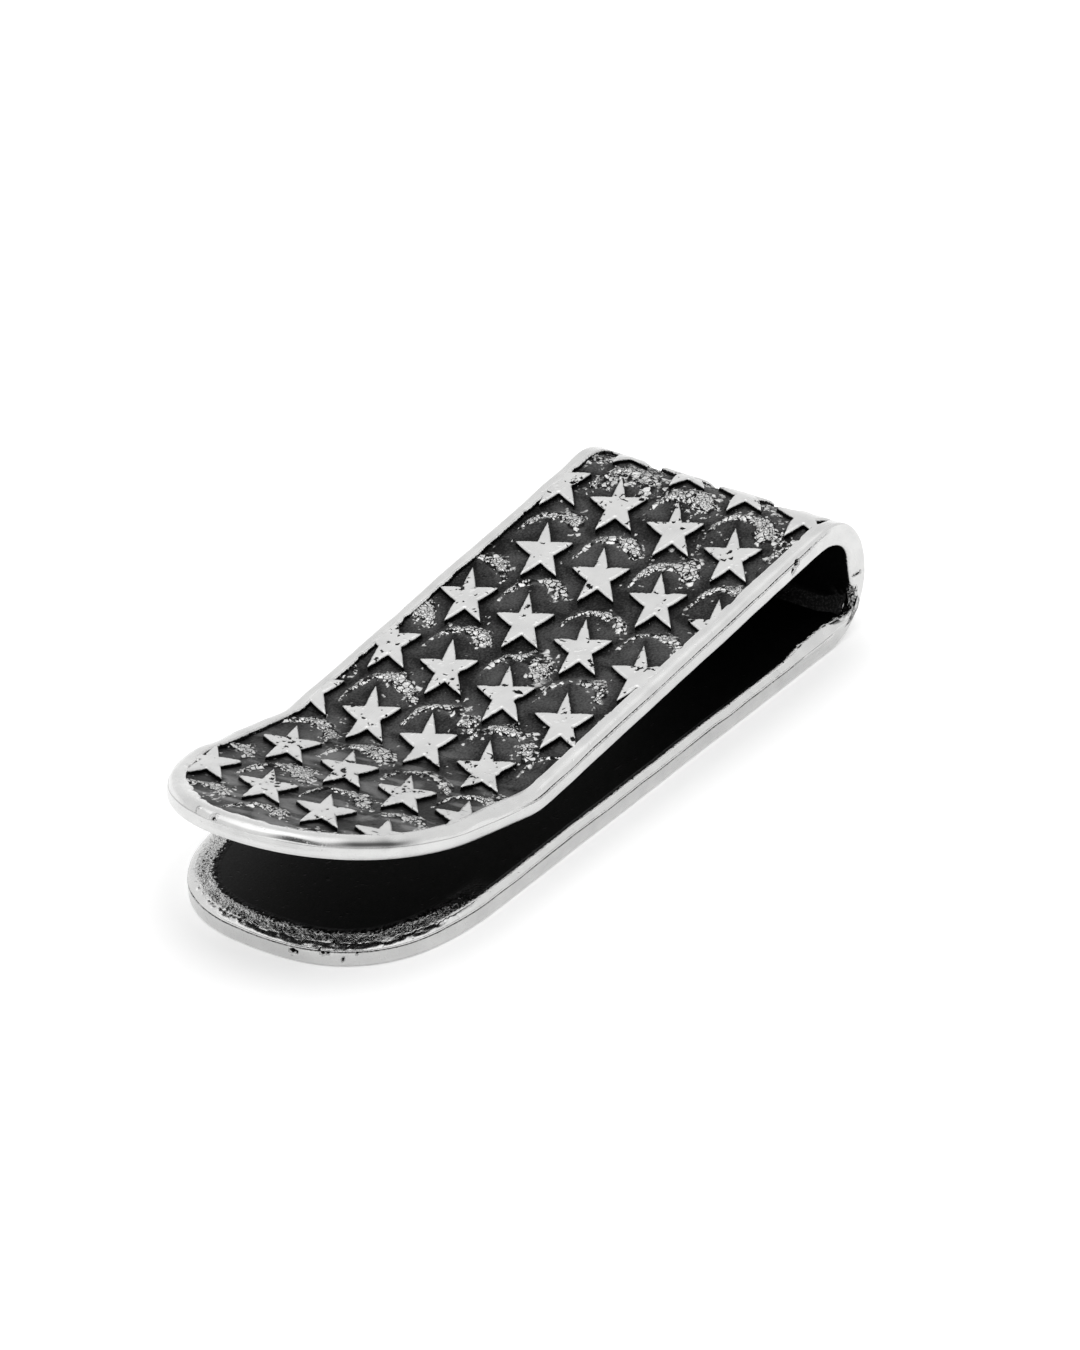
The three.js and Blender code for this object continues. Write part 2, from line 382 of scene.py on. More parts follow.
# Round the bow the rim's outer corner is nearly sharp.
BOW_EDGE = RECESS_WALL + [
    (0.62, 0.0, 0, 0.0),
    (0.42, 0.0, 0, 0.0),
    (0.28, 0.0, 0, 0.0),
    (0.16, 0.01, 0, 0.0),
    (0.08, 0.03, 0, 0.0),
    (0.03, 0.08, 0, 0.0),
    (0.008, 0.15, 0, 0.0),
    (0.0, 0.24, 0, 0.0),
    (0.0, 0.36, 0, 0.0),
] + side_face() + SHARP_LOWER_CORNER + inner_margin()
# Along the lip the bead grows into a full round.
LIP_EDGE = RECESS_WALL + [
    (0.66, 0.005, 0, 0.0),
    (0.50, 0.03, 0, 0.0),
    (0.37, 0.08, 0, 0.0),
    (0.25, 0.15, 0, 0.0),
    (0.15, 0.24, 0, 0.0),
    (0.095, 0.33, 0, 0.0),
    (0.06, 0.43, 0, 0.0),
    (0.03, 0.53, 0, 0.0),
    (0.01, 0.60, 0, 0.0),
] + side_face() + [
    (0.005, -0.40, 1, 0.0),
    (0.02, -0.32, 1, 0.0),
    (0.05, -0.24, 1, 0.0),
    (0.09, -0.16, 1, 0.0),
    (0.14, -0.10, 1, 0.0),
    (0.20, -0.05, 1, 0.1),
    (0.28, -0.015, 1, 0.4),
    (0.38, 0.0, 1, 0.9),
    (0.5, 0.0, 1, 1.0),
] + inner_margin()
# The back leaf is flat underneath, and its upper edge is rolled over, above a groove.
BACK_EDGE = [(inset, 0.0, 0, 0.0) for inset, _, _, _ in RECESS_WALL] + [
    (0.62, 0.0, 0, 0.0),
    (0.42, 0.0, 0, 0.0),
    (0.28, 0.003, 0, 0.0),
    (0.16, 0.015, 0, 0.0),
    (0.08, 0.045, 0, 0.0),
    (0.03, 0.10, 0, 0.0),
    (0.01, 0.17, 0, 0.0),
    (0.0, 0.25, 0, 0.0),
    (0.0, 0.36, 0, 0.0),
] + side_face() + [
    (0.0, -0.435, 1, 0.2),
    (0.08, -0.395, 1, 1.0),
    (0.03, -0.355, 1, 0.1),
    (0.10, -0.295, 1, 0.0),
    (0.18, -0.225, 1, 0.0),
    (0.27, -0.15, 1, 0.0),
    (0.37, -0.075, 1, 0.0),
    (0.48, -0.02, 1, 0.3),
    (0.62, 0.0, 1, 0.8),
] + inner_margin()
# Which points of the section carry the bead's uneven height and the rolled edge's waves: (point, reach).
BEAD_POINTS = (10, 3.5)
ROLL_POINTS = (24, 4.0)
# Where along the strip each section gives way to the next.
RECESS_FOOT = (-14.3, -13.6)
BEAD_GROWS = (-2.0, 3.5)
BEAD_ROUNDS = (FRONT_STRAIGHT - 1.0, FRONT_STRAIGHT + 4.0)
LIP_TIP = (STRIP_END - 5, STRIP_END - 1)
BACK_END = (STRIP_START + 6.0, STRIP_START + 13.0)
ROW_PITCH = 0.15
OUTLINE_SAMPLES = 2000
INSIDE_COLUMNS = 20
OUTSIDE_COLUMNS = 6

# The hand finish, as (which row of the noise, amount, size, seed).
SLOW_WAVE = (0, 0.035, 4.5, 11)
FINE_WAVE = (5, 0.012, 1.2, 12)
WALL_WEAR = (3, 0.05, 0.9, 13)
WALL_BITES = (8, 1, 0.8, 14)
BEAD_WAVE = (2, 1, 2.4, 15)
LIP_WAVE = (4, 0.12, 3.0, 16)
ROLL_WAVE = (6, 0.05, 2.0, 17)
END_POLISH = (9, 0.15, 1.5, 20)
TIP_WAVE = (7, 0.2, 0.7, 24)
STREAK_WAVE = (0, 0.06, 1.6, 25)
STREAK_SWELL = (4, 0.05, 0.9, 26)
WALL_WIDENS, BITE_DEPTH, TIP_WIDENS = 0.08, 0.10, 0.2
BEAD_UNEVEN, LIP_UNEVEN = 0.06, 0.07
# The back leaf's worn end: a crinkled band of cells, as deep as this, between these insets.
CRINKLE_CELLS = (0.34, 18)  # (size, seed)
CRINKLE_DEPTH, CRINKLE_FALL = 0.17, 0.14
CRINKLE_ROUGH = (0.09, 0.6, 19)
CRINKLE_STARTS, CRINKLE_ENDS = (0.1, 0.5), (1.3, 2.1)
END_SHINE = 0.76

# Marks on the side that faces the camera. The first three are (where along the strip, how far each way,
# how much the wall thickens).
HOLLOW = (-10.3, 1.1, -0.38)
ROLLED_FOOT = (-15.2, 3.0, 0.3)
THICK_CORNER = (-2.2, 1.8, 0.16)
HOLLOW_ROUGH = (0.9, 0.5, 21)
ROLL_STARTS = (0.03, 0.55)
MARKS_FADE_AT, MARKS_FADE_OVER = 2.4, 1.2
FOOT_SHINE = 0.7
FOOT_RAGGED = (0.25, 0.35, 27)
HOLLOW_BLACK = 0.5
SIDE_PITS = [  # (how far along the outline, depth, radius)
    (72.95, 0.50, 0.25),
    (73.40, 0.82, 0.21),
    (2.7, 0.75, 0.2),
    (2.95, 0.72, 0.14),
    (4.5, 1.15, 0.11),
    (4.75, 0.95, 0.13),
    (5.05, 1.0, 0.1),
    (6.0, 0.62, 0.12),
    (6.9, 1.0, 0.09),
]
STREAK = (113.3, 120.6, 0.41)  # a dark streak under the lip's bead, painted in as a reflection: from, to and depth
STREAK_FADES, STREAK_WIDTH = 2.5, 0.18
CRACK_S, CRACK_WIDTH, CRACK_DEPTH = -8.2, 0.09, 0.05
CRACK_BEND = (0.1, 0.3, 22)
CRACK_GAPS = (1, 0.16, 23)
CRACK_OVER = -0.35
NICKS = [(51.3, 0.85, 0.14), (51.05, 2.3, 0.08)]  # in the lip's tip: (s, w, radius)
NICK_DEPTH, NICK_BLACK, NICK_REACH = 0.09, 0.9, 0.5
ON_SIDE = 0.3  # a mark of the side face stays within this inset
FAR_SIDE_SHIFT = 200  # the far side's noise is read this much further along


def outline_rows():
    """Rows along the outline's near half from the back leaf's tip: s, w, the way inward, the distance."""
    turn = np.linspace(0, math.pi / 2, OUTLINE_SAMPLES)

    def end(rounding, squareness):
        along, across = np.sin(turn) ** (2 / squareness), np.cos(turn) ** (2 / squareness)
        return rounding * (1 - along), -WIDTH / 2 * across

    back_along, back_across = end(BACK_ROUNDING, BACK_SQUARENESS)
    lip_along, lip_across = end(LIP_ROUNDING, LIP_SQUARENESS)
    s = np.concatenate([STRIP_START + back_along[::-1], STRIP_END - lip_along])
    w = np.concatenate([back_across[::-1], lip_across])
    length = np.concatenate([[0], np.cumsum(np.hypot(np.diff(s), np.diff(w)))])
    rows = np.linspace(0, length[-1], round(length[-1] / ROW_PITCH) + 1)
    tangent = np.stack([
        np.interp(rows + ROW_PITCH, length, line) - np.interp(rows - ROW_PITCH, length, line)
        for line in (s, w)
    ])
    tangent[:, [0, -1]] = [[0, 0], [-1, 1]]
    tangent /= np.linalg.norm(tangent, axis=0)
    return np.interp(rows, length, s), np.interp(rows, length, w), -tangent[1], tangent[0], rows


def bump_at(s, centre, reach, amount):
    return amount * np.exp(-((s - centre) / reach) ** 2)


def edge_section(row_s):
    """The edge's section at each row: the four sections, faded into each other along the strip."""
    back, bow, front, lip = (np.array(edge) for edge in (BACK_EDGE, BOW_EDGE, FRONT_EDGE, LIP_EDGE))
    foot, bead, rounded = (
        smooth(row_s, *where)[:, None, None] for where in (RECESS_FOOT, BEAD_GROWS, BEAD_ROUNDS))
    top = bow * (1 - bead) + front * bead
    top = top * (1 - rounded) + lip * rounded
    return back * (1 - foot) + top * foot


def hand_finish(inset, drop, line, row_s):
    """The section filed by hand: slow waves all over, a worn recess wall and a bead of uneven height."""
    front, lip, tip = (smooth(row_s, *where)[:, None] for where in (RECESS_FOOT, BEAD_ROUNDS, LIP_TIP))
    order = np.arange(inset.shape[1])
    inset = inset + layer(line, *SLOW_WAVE) + layer(line, *FINE_WAVE)
    wear = layer(line, *WALL_WEAR, rough) + BITE_DEPTH * smooth(layer(line, *WALL_BITES), 0.4, 0.8)
    wide = lip * layer(line, *LIP_WAVE) + tip * (TIP_WIDENS + layer(line, *TIP_WAVE, rough))
    on_wall = order < len(RECESS_WALL)
    inset = inset + np.where(on_wall, (WALL_WIDENS - wear + wide) * front, 0)
    bead = bump_at(order, *BEAD_POINTS, 1) * front
    drop = drop + bead * (BEAD_UNEVEN + LIP_UNEVEN * lip) * layer(line, *BEAD_WAVE)
    rolled = bump_at(order, *ROLL_POINTS, 1) * (1 - front)
    return inset + rolled * layer(line, *ROLL_WAVE), drop


def worn_end(s, w, inset, face, line, row_s):
    """The back leaf's worn end: how much the crinkled band thickens the wall, and how far it is polished."""
    leaf_end = 1 - smooth(row_s, *BACK_END)[:, None]
    band = smooth(inset, *CRINKLE_STARTS) * (1 - smooth(inset, *CRINKLE_ENDS))
    zone = leaf_end * band * smooth(face, 0.9, 1.0)
    crinkle = cells(s, w, *CRINKLE_CELLS)[0] * CRINKLE_DEPTH + layer(s, w, *CRINKLE_ROUGH, rough)
    return zone * (crinkle - CRINKLE_FALL), zone * (END_SHINE + layer(line, *END_POLISH))


def thicker_near_bow(s, w, inset, face, black):
    """The near side's hollow, rolled foot and thick corner: what the wall gains, and its oxide."""
    hollow = bump_at(s, *HOLLOW) * (1 + layer(s, inset * 3, *HOLLOW_ROUGH, rough))
    rolled_foot = bump_at(s, *ROLLED_FOOT)
    total = hollow + rolled_foot * smooth(inset, *ROLL_STARTS) + bump_at(s, *THICK_CORNER)
    polished = FOOT_SHINE + layer(s, w, *FOOT_RAGGED, rough)
    shine = smooth(rolled_foot, 0.03, 0.15) * smooth(polished - inset, -0.2, 0.2)
    on_face = face > 0.99
    black = black - shine * on_face
    blackened = black + smooth(-hollow, 0.1, 0.25) * (HOLLOW_BLACK - black)
    black = np.where(on_face & (inset < FOOT_SHINE), blackened, black)
    return total * smooth(MARKS_FADE_AT - inset, 0, MARKS_FADE_OVER), black


def side_marks(s, w, depth, inset, black, line, in_s, in_w):
    """The near side's pits, its streak of painted dark reflection under the lip's bead, and its crack."""
    on_side = inset < ON_SIDE
    for pit_along, pit_depth, radius in SIDE_PITS:
        away = np.hypot(line - pit_along, depth - pit_depth) / radius
        pit = np.exp(-away**4) * on_side
        s, w = (flat + radius * way[:, None] * pit for flat, way in ((s, in_s), (w, in_w)))
        black = np.maximum(black, pit)
    # Painted reflection: a dark streak painted into the colour along the lip's bead, standing in for a dark
    # reflection.
    begin, finish, middle = STREAK
    length = smooth(line, begin, begin + STREAK_FADES) * (1 - smooth(line, finish - STREAK_FADES, finish))
    lean = middle + layer(line, *STREAK_WAVE)
    thick = STREAK_WIDTH + layer(line, *STREAK_SWELL)
    tarnish = length * np.exp(-((depth - lean) / thick) ** 2) * (inset < 0.4)
    crack = np.exp(-((s - CRACK_S - layer(depth, 0, *CRACK_BEND)) / CRACK_WIDTH) ** 2)
    crack = crack * (layer(depth, 3, *CRACK_GAPS) > CRACK_OVER) * smooth(depth, 0.3, 0.6)
    crack = crack * on_side * (np.arange(inset.shape[1]) > BEAD_POINTS[0])
    return s, w + CRACK_DEPTH * crack, np.maximum(black, crack), tarnish


def edge_side(side, row_s, row_w, in_s, in_w, along):
    """One side's edge with its finish: (s, w, depth, oxide, painted reflection), a row for each outline point.
    """
    section = edge_section(row_s)
    inset, drop, face, black = (section[..., n].copy() for n in range(4))
    line = along[:, None] + FAR_SIDE_SHIFT * (side > 0)
    inset, drop = hand_finish(inset, drop, line, row_s)
    s = row_s[:, None] + inset * in_s[:, None]
    w = (row_w[:, None] + inset * in_w[:, None]) * -side
    thicker, polish = worn_end(s, w, inset, face, line, row_s)
    wall = wall_depth(s) + thicker
    black = np.where(face > 0.99, black - polish, black)
    tarnish = np.zeros_like(drop)
    if side < 0:
        thicker, black = thicker_near_bow(s, w, inset, face, black)
        wall = wall + thicker
    depth = drop + face * wall
    if side < 0:
        s, w, black, tarnish = side_marks(s, w, depth, inset, black, line, in_s, in_w)
    for nick_s, nick_w, radius in NICKS:
        nick = np.exp(-(((s - nick_s) / radius) ** 2 + ((w - nick_w) / radius) ** 2)) * (depth < NICK_REACH)
        depth = depth + NICK_DEPTH * nick
        black = np.maximum(black, NICK_BLACK * nick)
    depth = np.where(row_s[:, None] < RECESS_FOOT[0], np.maximum(depth, 0), depth)
    return s, w, depth, np.clip(black, 0, 1), tarnish


def clip_body(material):
    """The strip with its rim and recess as one closed skin, from the back leaf's tip to the lip's."""
    row_s, row_w, *frame_of_rows = outline_rows()
    near, far = (edge_side(side, row_s, row_w, *frame_of_rows) for side in (-1, 1))
    inside_share, outside_share = (
        np.linspace(0, 1, count + 2)[1:-1] for count in (INSIDE_COLUMNS, OUTSIDE_COLUMNS))

    def between(edge_point, share, value):
        return near[value][:, edge_point, None] * (1 - share) + far[value][:, edge_point, None] * share

    inside_s, inside_w = (between(-1, inside_share, value) for value in (0, 1))
    outside_s, outside_w = (between(0, outside_share, value) for value in (0, 1))
    recess = smooth(outside_s, *RECESS_FOOT)
    inside = (inside_s, inside_w, wall_depth(inside_s), np.ones_like(inside_s), np.zeros_like(inside_s))
    outside_face = (outside_s, outside_w, recess * FRONT_EDGE[0][1], recess, np.zeros_like(outside_s))
    values = [
        np.concatenate([n, i, f[:, ::-1], o[:, ::-1]], axis=1)
        for n, i, f, o in zip(near, inside, far, outside_face)
    ]
    index = np.arange(values[0].size).reshape(values[0].shape)
    edge_end, far_end = len(FRONT_EDGE), 2 * len(FRONT_EDGE) + INSIDE_COLUMNS
    for tip in (0, -1):
        index[tip, edge_end:edge_end + INSIDE_COLUMNS] = index[tip, edge_end - 1]
        index[tip, edge_end + INSIDE_COLUMNS:far_end] = index[tip, :edge_end][::-1]
        index[tip, far_end:] = index[tip, 0]
    beside = np.roll(index, -1, axis=1)
    quads = np.stack([index[:-1], index[1:], beside[1:], beside[:-1]], axis=-1).reshape(-1, 4)
    used, flat = np.unique(quads, return_inverse=True)
    s, w, depth, black, tarnish = (value.ravel()[used] for value in values)
    faces = without_repeats(flat.reshape(-1, 4).tolist())
    strip = np.stack([s, w, depth], axis=-1)
    # oxide is the blackened silver; the other attribute carries the painted reflection under the lip's bead.
    piece = make_piece(
        "clip_body", place(s, w, depth), faces, material, strip, oxide=black, tarnish=tarnish)
    bend_with_bow(piece)
    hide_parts(*(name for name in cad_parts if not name.startswith("star_")))


# ---------------------------------------------------------------- the relief between the stars

RELIEF_PITCH = 0.08
SLAB_INSET = RIM - 0.25
SLAB_DEPTH = 0.8

# Grains lie in an arch over each star, which ends in a cluster at its right. All in a unit star's sizes.
ARCH_SEED = 500
ARCH_VARIES = {  # from star to star: (lowest, highest)
    "lift": (-0.1, 0.12),
    "spread": (0.65, 1.35),
    "swell": (0.65, 1.35),
    "strength": (0.72, 1.15),
    "left": (0.45, 1.0),
    "lean": (-0.2, 0.2),
}
ARCH_TOP = 1.38
ARCH_FALLS = (0.62, 0.25)  # how fast the ridge falls to the left and to the right
ARCH_THICK, ARCH_THICKENS, THICKENS_OVER = 0.10, 0.15, (0.1, 0.8)
ARCH_BEGINS, ARCH_ENDS, ARCH_FILLS = (-1.3, -0.7), (1.05, 1.4), (-0.5, 0.3)
CLUSTER_AT, CLUSTER_WIDE, CLUSTER_HIGH = 1.0, 0.28, 0.36
BESIDE_REACH = 0.4

# The cast ground's layers, as (amount, size, seed).
WANDER_S, WANDER_W = (0.12, 0.5, 31), (0.12, 0.5, 32)
COVER_VARIES, COVER_SPECKS = (0.6, 0.8, 33), (0.14, 0.4, 34)
COARSE_PLACES = (1, 1.8, 37)
DUNES, LOW_DUNES = (0.5, 2.2, 38), (0.25, 0.9, 39)
CAST_SKIN = (0.012, 0.3, 40)
MELTS = (0.4, 1.6, 41)
SMEARS = (1, 0.9, 42)
COVER_SHARE, COVER_ALL_OVER = 0.95, 0.02
# Its grains, as (size, seed, where the edge rises, how much they vary, the strength that makes them).
NUGGETS = (0.42, 35, (0.05, 0.22), 0.45, (0.42, 0.56))
GRAINS = (0.2, 36, (0.05, 0.25), 0.9, (0.4, 0.58))
# Over the bow the grains have run together, away from the stars.
MELTED_FROM, MELTED_TO, MELTED_MORE, MELTED_AWAY = (-5.5, -1.0), (6.0, 10.0), 0.2, (0.1, 0.7)
# Towards the lip the grey is rubbed off in slanting smears.
SMEARED_FROM = (FRONT_STRAIGHT - 3, FRONT_STRAIGHT + 4)
SMEAR_SLANT = ((1.6, -0.4), 0.6)
# What each feature adds to the ground's height in millimetres, and to its grey.
GROUND_HIGH, ARCH_HIGH, DUNE_HIGH, NUGGET_HIGH, GRAIN_HIGH = 0.05, 0.09, 0.03, 0.065, 0.04
# Beside the stars the grey darkens, partly for thicker oxide and partly as painted shade.
GROUND_GREY, ARCH_GREY, DUNE_GREY, SMEAR_GREY, STAR_SHADE_AND_OXIDE, CREVICE_DARK = 0.18, 0.2, 0.26, 0.5, 0.36, 0.6
# Where the ground meets the rim: it rises and darkens, then dives under.
MENISCUS_REACH, MENISCUS_HIGH, MENISCUS_DARK = 0.2, 0.08, 0.7
TUCK_DEPTH, TUCK_OVER = 0.15, 0.2
GROUND_TOP = 0.1


def star_gauge(u, v):
    """1 on a unit star's outline, less inside it and more outside."""
    angle = np.arctan2(u, v)
    fifth = 2 * math.pi / STAR_POINTS
    from_tip = np.abs((angle + fifth / 2) % fifth - fifth / 2)
    line = math.cos(fifth)
    return np.hypot(u, v) * (np.cos(from_tip) * line + np.sin(from_tip) * math.sqrt(1 - line**2)) / line


def scatter(s, w):
    """How thickly the cast grains lie round the stars, and how near a star is."""
    cover, beside = np.zeros(s.shape), np.zeros(s.shape)
    for number, centre in enumerate(ALL_STARS):
        rng = np.random.default_rng(ARCH_SEED + number)
        lift, spread, swell, strength, left, lean = rng.uniform(*zip(*ARCH_VARIES.values()))
        u, v = strip_to_unit(s - centre[0], w - centre[1])
        ridge = ARCH_TOP + lift - np.where(u < 0, *ARCH_FALLS) * u**2
        thick = (ARCH_THICK + ARCH_THICKENS * smooth(u, *THICKENS_OVER)) * spread
        arch = np.exp(-((v - ridge) / thick) ** 2)
        arch = arch * smooth(u, *ARCH_BEGINS) * (1 - smooth(u, *ARCH_ENDS))
        arch = arch * (left + (1 - left) * smooth(u, *ARCH_FILLS))
        across = (u - CLUSTER_AT - lean) / (CLUSTER_WIDE * swell)
        up = (v - CLUSTER_AT + lean) / (CLUSTER_HIGH * swell)
        cluster = np.exp(-across**2 - up**2)
        cover = np.maximum(cover, np.maximum(arch, cluster) * strength)
        beside = np.maximum(beside, np.exp(-np.maximum(star_gauge(u, v) - 1, 0) / BESIDE_REACH))
    return cover, beside


def grains(s, w, strength, size, seed, edge, variety, chosen):
    """1 on each grain that the strength brings out, and 0 between them."""
    inside, tone = cells(s, w, size, seed)
    return smooth(inside, *edge) * smooth(strength + variety * (tone - 0.5), *chosen)


def relief_height(s, w):
    """The ground's height in millimetres, how thick the bright grains lie and how grey the ground is."""
    cover, beside = scatter(s, w)
    wander_s = s + layer(s, w, *WANDER_S)
    wander_w = w + layer(s, w, *WANDER_W)
    strength = cover * (COVER_SHARE + layer(s, w, *COVER_VARIES)) + layer(s, w, *COVER_SPECKS)
    melted = smooth(-s, *MELTED_FROM) * (1 - smooth(-s, *MELTED_TO))
    melted = melted * (layer(s, w, *MELTS) + MELTED_MORE) * smooth(1 - beside, *MELTED_AWAY)
    strength = strength + melted + COVER_ALL_OVER
    nugget = grains(wander_s, wander_w, strength, *NUGGETS) * smooth(layer(s, w, *COARSE_PLACES), -0.5, 0.2)
    grain = grains(wander_s, wander_w, strength, *GRAINS)
    dune = layer(s, w, *DUNES) + layer(s, w, *LOW_DUNES)
    height = GROUND_HIGH + ARCH_HIGH * smooth(cover, 0.1, 0.9) + DUNE_HIGH * dune
    height = height + NUGGET_HIGH * nugget + GRAIN_HIGH * grain + layer(s, w, *CAST_SKIN, rough)
    (s_share, w_share), stretch = SMEAR_SLANT
    smear = smooth(layer(s * s_share + w * w_share, w * stretch, *SMEARS), -0.1, 0.6)
    smear = smear * smooth(s, *SMEARED_FROM)
    crevice = smooth(strength, 0.32, 0.55)
    grey = GROUND_GREY + ARCH_GREY * smooth(cover, 0.0, 0.7) + DUNE_GREY * dune + SMEAR_GREY * smear
    # Beside the stars the ground is darkened: thicker oxide and painted shade together.
    grey = grey - STAR_SHADE_AND_OXIDE * beside - CREVICE_DARK * crevice
    return height, strength, np.clip(grey, 0, 1)


def relief_piece(name, start, end, material):
    """A closed slab of the recess's ground along part of the strip, its edges tucked under the rim."""
    s_rows = np.linspace(start, end, round((end - start) / RELIEF_PITCH) + 1)
    widths = half_width(s_rows, SLAB_INSET)
    columns = round(2 * widths.max() / RELIEF_PITCH) + 1
    s = np.repeat(s_rows[:, None], columns, axis=1)
    w = widths[:, None] * np.linspace(-1, 1, columns)
    height, cover, grey = relief_height(s, w)
    from_rim = half_width(s, RIM) - np.abs(w)
    meniscus = np.exp(-np.maximum(from_rim, 0) / MENISCUS_REACH)
    depth = np.maximum(RELIEF - height - MENISCUS_HIGH * meniscus, GROUND_TOP)
    depth = depth + TUCK_DEPTH * smooth(-from_rim, 0.0, TUCK_OVER)
    grey = grey * (1 - MENISCUS_DARK * meniscus)
    count = s.size
    index = np.arange(count).reshape(s.shape)
    low_near = count + np.arange(len(s_rows))
    low_far = low_near + len(s_rows)
    corners = (index[:-1, :-1], index[:-1, 1:], index[1:, 1:], index[1:, :-1])
    faces = np.stack(corners, -1).reshape(-1, 4).tolist()
    for a in range(len(s_rows) - 1):
        b = a + 1
        faces.append((index[a, 0], index[b, 0], low_near[b], low_near[a]))
        faces.append((index[b, -1], index[a, -1], low_far[a], low_far[b]))
        faces.append((low_near[a], low_near[b], low_far[b], low_far[a]))
    faces.append((*index[0, ::-1], low_near[0], low_far[0]))
    faces.append((*index[-1], low_far[-1], low_near[-1]))
    strip = np.stack([s, w, depth], -1).reshape(-1, 3)
    for sign in (-1, 1):
        low = np.stack([s_rows, sign * widths, np.full(len(s_rows), SLAB_DEPTH)], -1)
        strip = np.concatenate([strip, low])
    spare = np.zeros(2 * len(s_rows))
    cover = np.concatenate([cover.ravel(), spare])
    grey = np.concatenate([grey.ravel(), spare])
    piece = make_piece(name, place(*strip.T), faces, material, strip, cover=cover, grey=grey)
    return piece


# ---------------------------------------------------------------- the stars

STAR_FOOT = 0.7
STAR_PITCH = 0.085
STAR_STAGGER = 0.23  # of the pitch, between neighbouring points
EDGE_STEPS = 12
EDGE_BULGE = 0.02
TOP_EDGE = 0.06  # how far the top's outline is worn down
TOP_ENDS = 0.08  # everything deeper is the star's side
EDGE_CLEARANCE = 0.05
INSIDE_OUTLINE, POINTS_MEET = 1, 1e-6  # delaunay_2d_cdt's output type and tolerance
SIDE_RINGS = ((0.02, 0.1), (0.06, 0.3), (0.12, STAR_FOOT))  # (how far out, depth)
LIP_CUTS = np.radians(np.arange(6, 90, 6))
LIP_CUTS_FROM = 4.0
CUT_SNAP = 1e-5
# Wear on the stars, as (amount, size, seed).
CHIPS, WOBBLE = (1, 0.6, 60), (0.006, 0.25, 61)
CHIP_DEPTH, CHIPPED = 0.14, (0.6, 0.9)
PIT_PATCHES, SMALL_PITS, DEEP_PITS, TOP_DISHES = (1, 1.6, 71), (1, 0.36, 72), (1, 0.3, 73), (0.004, 1.2, 74)
PIT_DEPTH = 0.06


def clip_lines(centre):
    """Lines in (s, w) that a star near the rim or the foot is cut along: (point, outward normal)."""
    limit = WIDTH / 2 - SLAB_INSET
    lines = [((0, side * limit), (0, side)) for side in (-1, 1)]
    lines.append(((RECESS_FOOT[1], 0), (-1, 0)))
    lip_from = STRIP_END - LIP_ROUNDING
    if centre[0] > lip_from - LIP_CUTS_FROM:
        length = LIP_ROUNDING - SLAB_INSET
        for turn in LIP_CUTS:
            u, v = math.sin(turn) ** (2 / LIP_SQUARENESS), math.cos(turn) ** (2 / LIP_SQUARENESS)
            normal = (u ** (LIP_SQUARENESS - 1) / length, v ** (LIP_SQUARENESS - 1) / limit)
            for side in (-1, 1):
                lines.append(((lip_from + u * length, side * v * limit), (normal[0], side * normal[1])))
    return lines


def star_top(number, centre):
    """A flat star in strip coordinates: its points, its triangles and its outline's points in order."""
    outline = centre + unit_to_strip(star_outline(EDGE_STEPS, EDGE_BULGE))
    amount, size, seed = CHIPS
    chip = CHIP_DEPTH * smooth(layer(*outline.T, amount, size, seed + number), *CHIPPED)
    chip = (chip + layer(*outline.T, *WOBBLE)) / np.linalg.norm(outline - centre, axis=1)
    outline = outline + (centre - outline) * chip[:, None]
    steps = (np.arange(low, high, STAR_PITCH) for low, high in zip(outline.min(axis=0), outline.max(axis=0)))
    grid = np.stack(np.meshgrid(*steps), -1).reshape(-1, 2)
    grid[::2] += STAR_PITCH * STAR_STAGGER
    u, v = strip_to_unit(*(grid - centre).T)
    grid = grid[star_gauge(u, v) < 1.25]
    before = np.roll(outline, 1, axis=0)
    edges = outline - before
    keep = []
    for point in grid:
        to_edge = point - before
        share = np.clip((to_edge * edges).sum(1) / (edges**2).sum(1), 0, 1)
        away = np.linalg.norm(to_edge - edges * share[:, None], axis=1).min()
        crossing = (outline[:, 1] > point[1]) != (before[:, 1] > point[1])
        rise = np.where(edges[:, 1] == 0, 1, edges[:, 1])
        side = before[:, 0] + edges[:, 0] * (point[1] - before[:, 1]) / rise
        inside = np.count_nonzero(crossing & (side > point[0])) % 2
        if inside and away > EDGE_CLEARANCE:
            keep.append(point)
    points = [Vector(p) for p in (*outline, *keep)]
    order = list(range(len(outline)))
    top = delaunay_2d_cdt(points, [], [order], INSIDE_OUTLINE, POINTS_MEET)
    where = {first: new for new, firsts in enumerate(top[3]) for first in firsts}
    return np.array([tuple(p) for p in top[0]]), top[2], [where[n] for n in order]


